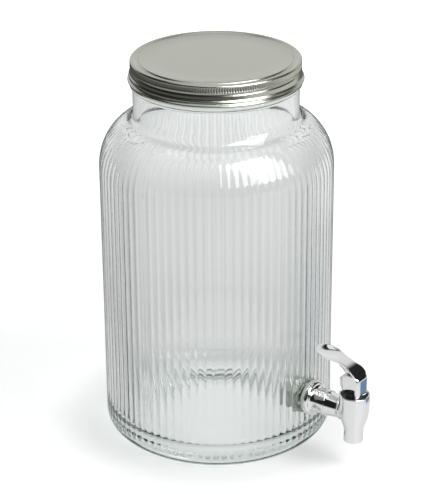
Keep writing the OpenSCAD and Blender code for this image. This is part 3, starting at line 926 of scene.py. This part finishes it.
def web_outline():
    """The web that joins the hub to the underside of the blade."""
    under = [blade_point(WEB_START + WEB_STEP * i, 0.0, BLADE_T / 2) for i in range(WEB_STEPS + 1)]
    return (
        [(3, PIN_Z + 6)] + [(-BARREL_Y - v.y, v.z) for v in under]
        + [(-14, PIN_Z + 12.8), (-10.3, PIN_Z + 9.9), (-7.9, PIN_Z + 7.7), (-6.2, PIN_Z + 5)]
    )


def stem_slot():
    """The slot in the hub that the valve stem's eye stands in."""
    bm = bmesh.new()
    bmesh.ops.create_cube(bm, size=1)
    return placed(bm, Matrix.Translation(SLOT_PLACE) @ Matrix.Diagonal((*SLOT_SIZE, 1)))


class DISPENSER_OT_lever(bpy.types.Operator):
    """Model the push lever: plate, paddle, hub and web"""
    bl_idname = "dispenser.lever"
    bl_label = "Lever"

    def execute(self, context):
        bm = combined(
            blade_mesh(),
            ("UNION", side_extrusion(hub_outline(), HUB_HALF)),
            ("UNION", side_extrusion(web_outline(), WEB_HALF)),
            ("DIFFERENCE", stem_slot()),
        )
        finished(bm, "tap_lever", "Chrome Plate", "lever", ["lever"], sharp=34)
        return {"FINISHED"}


# ---- Stage ----------------------------------------------------------------

CAMERA_AZIMUTH = -51.8
CAMERA_DISTANCE = 1.290
CAMERA_HEIGHT = 0.7321
CAMERA_PITCH = 24.5695
CAMERA_YAW = -0.0422
CAMERA_ROLL = -0.4664
CAMERA_LENS = 138.39
JAR_MIDDLE = Vector((0, 0, 0.15))
FLOOR_R = 6.0
LIGHT_BOUNCES = 24


def toward(azimuth, elevation=0):
    """The direction of a place round the jar, in degrees, with azimuth 0 in front of the tap."""
    a, e = math.radians(azimuth), math.radians(elevation)
    return Vector((math.sin(a) * math.cos(e), -math.cos(a) * math.cos(e), math.sin(e)))


def facing_jar(azimuth, elevation, distance):
    """Where a lamp or a card stands, turned to the middle of the jar."""
    away = toward(azimuth, elevation)
    turn = away.to_track_quat("Z", "Y").to_matrix().to_4x4()
    return Matrix.Translation(JAR_MIDDLE + away * distance) @ turn


def add_camera():
    """A long lens, a little above the jar."""
    data = bpy.data.cameras.new("camera")
    data.lens = CAMERA_LENS
    data.sensor_width = 36
    camera = bpy.data.objects.new("camera", data)
    bpy.context.scene.collection.objects.link(camera)
    turns = (("Z", -CAMERA_YAW), ("X", 90 - CAMERA_PITCH), ("Z", CAMERA_ROLL))
    place = (Matrix.Rotation(math.radians(CAMERA_AZIMUTH), 4, "Z")
             @ Matrix.Translation((0, -CAMERA_DISTANCE, CAMERA_HEIGHT)))
    for axis, angle in turns:
        place = place @ Matrix.Rotation(math.radians(angle), 4, axis)
    camera.matrix_world = place
    bpy.context.scene.camera = camera


def softbox(name, place, size, energy):
    """A rectangular lamp that mirrors don't show."""
    data = bpy.data.lights.new(name, "AREA")
    data.shape = "RECTANGLE"
    data.size, data.size_y = size
    data.energy = energy
    lamp = bpy.data.objects.new(name, data)
    bpy.context.scene.collection.objects.link(lamp)
    lamp.matrix_world = place
    lamp.visible_glossy = False


def grey(level):
    """A grey colour."""
    return level, level, level, 1


def ramp(tree, value, *stops):
    """A value turned into a grey by its (value, grey) stops."""
    node = add_node(tree, "ValToRGB", {"Fac": value})
    node.color_ramp.interpolation = "EASE"
    points = node.color_ramp.elements
    while len(points) < len(stops):
        points.new(0.5)
    for point, (position, level) in zip(points, stops):
        point.position = position
        point.color = grey(level)
    return node.outputs["Color"]


def along(tree, vector, direction):
    """How far a vector points along a direction, moved from -1..1 to 0..1."""
    dot = add_node(tree, "VectorMath", {0: vector, 1: direction}, operation="DOT_PRODUCT").outputs["Value"]
    return add_node(tree, "Math", {0: dot, 1: 0.5, 2: 0.5}, operation="MULTIPLY_ADD").outputs[0]


def mixed(tree, first, second, factor=1.0, blend="MIX"):
    """Two colours blended; a plain mix is the first at factor 0 and the second at factor 1."""
    inputs = {"Factor": factor, "A": first, "B": second}
    return add_node(tree, "Mix", inputs, data_type="RGBA", blend_type=blend).outputs["Result"]


def room(tree, direction, wall_stops, ceiling_stops):
    """The brightness of a room, by how far a direction points to the far wall and to the ceiling."""
    wall = ramp(tree, along(tree, direction, toward(CAMERA_AZIMUTH + 180)), *wall_stops)
    ceiling = ramp(tree, along(tree, direction, UP), *ceiling_stops)
    return mixed(tree, wall, ceiling, blend="LIGHTEN")


def add_world():
    """Surroundings that are white to the camera, grey to matt surfaces, and a room to mirrors and glass.

    Mirrors see a dark room with a white wall behind the jar and a white ceiling. Glass sees a lighter one.
    """
    world = bpy.data.worlds.new("studio")
    bpy.context.scene.world = world
    tree = cleared(world)
    direction = add_node(tree, "TexCoord").outputs["Generated"]
    mirrored = room(tree, direction, [(0.0, 0.012), (0.76, 0.02), (0.82, 0.74), (1.0, 0.82)],
                    [(0.0, 0.0), (0.915, 0.0), (0.935, 0.85), (1.0, 0.90)])
    refracted = room(tree, direction, [(0.0, 0.22), (0.40, 0.36), (0.70, 0.70), (1.0, 0.82)],
                     [(0.0, 0.0), (0.75, 0.0), (0.90, 0.80), (1.0, 0.85)])
    ray = add_node(tree, "LightPath").outputs
    color = mixed(tree, mirrored, refracted, ray["Is Transmission Ray"])
    color = mixed(tree, color, (0.55, 0.555, 0.56, 1), ray["Is Diffuse Ray"])
    color = mixed(tree, color, grey(1), ray["Is Camera Ray"])
    background = add_node(tree, "Background", {"Color": color})
    add_node(tree, "OutputWorld", {"Surface": background.outputs["Background"]})


def distance_from(tree, place, point):
    """How far a place on the floor is from a point, and the direction from the point to the place."""
    away = add_node(tree, "VectorMath", {0: place, 1: point}, operation="SUBTRACT").outputs["Vector"]
    length = add_node(tree, "VectorMath", {0: away}, operation="LENGTH").outputs["Value"]
    return length, add_node(tree, "VectorMath", {0: away}, operation="NORMALIZE").outputs["Vector"]


def painted_reflection_floor(tree, place):
    """Painted reflections that mirrors see in the floor: a glow that darkens with distance, but not on the
    right, and a painted blue card.
    """
    reach, out = distance_from(tree, place, (0, 0, 0))
    from_tap, way = distance_from(tree, place, (0, -BARREL_Y * MM, 0))
    # Painted reflection: a pale sheet whose glow darkens with distance, lighter round the tap's right and far
    # off on the right
    sheet = ramp(tree, reach, (0.0, 0.84), (0.20, 0.78), (0.45, 0.46), (0.65, 0.05))
    turn = ramp(tree, along(tree, way, toward(CAMERA_AZIMUTH + 35)),
                (0.0, 0.60), (0.25, 0.80), (0.5, 0.86), (0.85, 0.90), (1.0, 1.0))
    paper = mixed(tree, sheet, turn, blend="MULTIPLY")
    right = ramp(tree, along(tree, out, toward(CAMERA_AZIMUTH + 85)),
                 (0.0, 0.0), (0.80, 0.0), (0.86, 1.0), (1.0, 1.0))
    beyond = ramp(tree, reach, (0.0, 0.0), (0.42, 0.0), (0.50, 0.85), (1.0, 0.85))
    paper = mixed(tree, paper, (0.85, 0.85, 0.83, 1), mixed(tree, right, beyond, blend="MULTIPLY"))
    # Painted reflection of a blue card beside the tap: a blue patch in the glow that only mirrors see; no
    # blue card stands there
    near = ramp(tree, from_tap, (0.0, 0.0), (0.098, 0.0), (0.112, 1.0), (0.28, 1.0), (0.33, 0.0))
    side = ramp(tree, along(tree, way, toward(CAMERA_AZIMUTH + 105)),
                (0.0, 0.0), (0.962, 0.0), (0.972, 1.0), (1.0, 1.0))
    return mixed(tree, paper, (0.045, 0.14, 0.27, 1), mixed(tree, near, side, blend="MULTIPLY"))


def painted_floor_through_glass(tree, place):
    """Painted light and shade that glass sees in the floor: a painted shadow ring at the jar's foot, and
    light and dark painted bands across.
    """
    reach, _ = distance_from(tree, place, (0, 0, 0))
    # Painted shadow: a dark ring round the jar's foot as glass sees it, growing lighter farther out
    foot_shadow_rings = ramp(tree, reach, (0.0, 0.76), (0.075, 0.74), (0.088, 0.54), (0.105, 0.64), (0.42, 0.72),
                 (0.62, 0.88), (1.0, 0.92))
    # Painted light: light and dark bands across, standing in for bright and dim parts of the room behind the
    # jar
    painted_light_bands = ramp(tree, along(tree, place, toward(CAMERA_AZIMUTH + 90)), (0.34, 0.84), (0.38, 0.70),
                   (0.42, 0.92), (0.46, 0.78), (0.50, 1.0), (0.54, 0.80), (0.58, 1.0), (0.62, 0.82),
                   (0.66, 0.92))
    return mixed(tree, foot_shadow_rings, painted_light_bands, blend="MULTIPLY")


def floor_material():
    """A white floor that takes the jar's shadow, with a glow that paints shade round the jar's foot for the
    camera and paints reflections for mirrors and glass.
    """
    tree, shader, output = bare_material("Studio Floor")
    place = add_node(tree, "TexCoord").outputs["Object"]
    ray = add_node(tree, "LightPath").outputs
    reach, _ = distance_from(tree, place, (0, 0, 0))
    # Glow for the camera: weak round the jar's foot, which paints shade there on top of the real shadow, and
    # strong far off, so that the far floor stays white
    seen = ramp(tree, reach, (0.0, 0.20), (0.09, 0.22), (0.14, 0.44), (0.35, 0.52), (0.6, 0.70), (1.0, 0.95))
    glow = mixed(tree, painted_reflection_floor(tree, place), painted_floor_through_glass(tree, place), ray["Is Transmission Ray"])
    glow = mixed(tree, glow, seen, ray["Is Camera Ray"])
    glow = mixed(tree, glow, grey(0), ray["Is Diffuse Ray"])
    # The glow is painted light: painted shade for the camera, painted reflections for mirrors and glass,
    # nothing for matt surfaces
    painted_light_glow = add_node(tree, "Emission", {"Color": glow, "Strength": 0.97})
    paint = mixed(tree, grey(0.12), (0.75, 0.75, 0.745, 1), ray["Is Camera Ray"])
    paint = mixed(tree, paint, grey(0.8), ray["Is Diffuse Ray"])
    feed(shader, {"Base Color": paint, "Roughness": 0.7, "Specular IOR Level": 0.0})
    both = add_node(tree, "AddShader", {0: shader.outputs["BSDF"], 1: painted_light_glow.outputs["Emission"]})
    feed(output, {"Surface": both.outputs["Shader"]})


def add_floor():
    """The round floor that the jar stands on."""
    floor_material()
    bm = bmesh.new()
    bmesh.ops.create_circle(bm, cap_ends=True, segments=96, radius=FLOOR_R)
    ground = object_of(bm, "studio_floor")
    ground.data.materials.append(bpy.data.materials["Studio Floor"])


def window_card(place, size, strength):
    """A bright card that only reflections show."""
    material = bpy.data.materials.new("Window Card")
    tree = cleared(material)
    glow = add_node(tree, "Emission", {"Strength": strength})
    add_node(tree, "OutputMaterial", {"Surface": glow.outputs["Emission"]})
    bm = bmesh.new()
    bmesh.ops.create_grid(bm, x_segments=1, y_segments=1, size=0.5)
    card = object_of(bm, "window_card")
    card.data.materials.append(material)
    card.matrix_world = place @ Matrix.Diagonal((*size, 1, 1))
    for kind in ("camera", "diffuse", "transmission", "shadow", "volume_scatter"):
        setattr(card, "visible_" + kind, False)


class DISPENSER_OT_stage(bpy.types.Operator):
    """Set the floor, the lamp, the card, the surroundings and the camera"""
    bl_idname = "dispenser.stage"
    bl_label = "Stage"

    def execute(self, context):
        add_floor()
        add_world()
        softbox("key_softbox", facing_jar(CAMERA_AZIMUTH + 62, elevation=40, distance=1.5), size=(0.8, 1.0),
                energy=14)
        window_card(facing_jar(CAMERA_AZIMUTH + 45, elevation=41, distance=1.5), size=(1.1, 1.4), strength=7)
        add_camera()
        scene = context.scene
        scene.view_settings.view_transform = "Standard"
        scene.cycles.max_bounces = LIGHT_BOUNCES
        scene.cycles.transmission_bounces = LIGHT_BOUNCES
        scene.cycles.transparent_max_bounces = LIGHT_BOUNCES
        return {"FINISHED"}


# ---- Panel and add-on -----------------------------------------------------

SETTINGS = {"dispenser_jar": JarSettings, "dispenser_lid": LidSettings, "dispenser_finish": FinishSettings}
PIECES = (
    DISPENSER_OT_finishes, DISPENSER_OT_jar, DISPENSER_OT_lid, DISPENSER_OT_tap_body, DISPENSER_OT_collar,
    DISPENSER_OT_nut, DISPENSER_OT_valve, DISPENSER_OT_inner_pieces, DISPENSER_OT_lever, DISPENSER_OT_stage,
)


class DISPENSER_PT_panel(bpy.types.Panel):
    """Lists the dispenser's pieces and settings in the sidebar"""
    bl_label = "Glass Dispenser"
    bl_idname = "DISPENSER_PT_panel"
    bl_space_type = "VIEW_3D"
    bl_region_type = "UI"
    bl_category = "Dispenser"

    def draw(self, context):
        layout = self.layout
        for group in SETTINGS:
            box = layout.box()
            settings = getattr(context.scene, group)
            for name in settings.__annotations__:
                box.prop(settings, name)
        for piece in PIECES:
            layout.operator(piece.bl_idname)


def register():
    for cls in (*SETTINGS.values(), *PIECES, DISPENSER_PT_panel):
        bpy.utils.register_class(cls)
    for name, cls in SETTINGS.items():
        setattr(bpy.types.Scene, name, PointerProperty(type=cls))


def unregister():
    for name in SETTINGS:
        delattr(bpy.types.Scene, name)
    for cls in (DISPENSER_PT_panel, *reversed(PIECES), *reversed(SETTINGS.values())):
        bpy.utils.unregister_class(cls)


def main():
    """Builds every piece and the stage."""
    register()
    for piece in PIECES:
        group, name = piece.bl_idname.split(".")
        getattr(getattr(bpy.ops, group), name)()


if __name__ == "__main__":
    main()
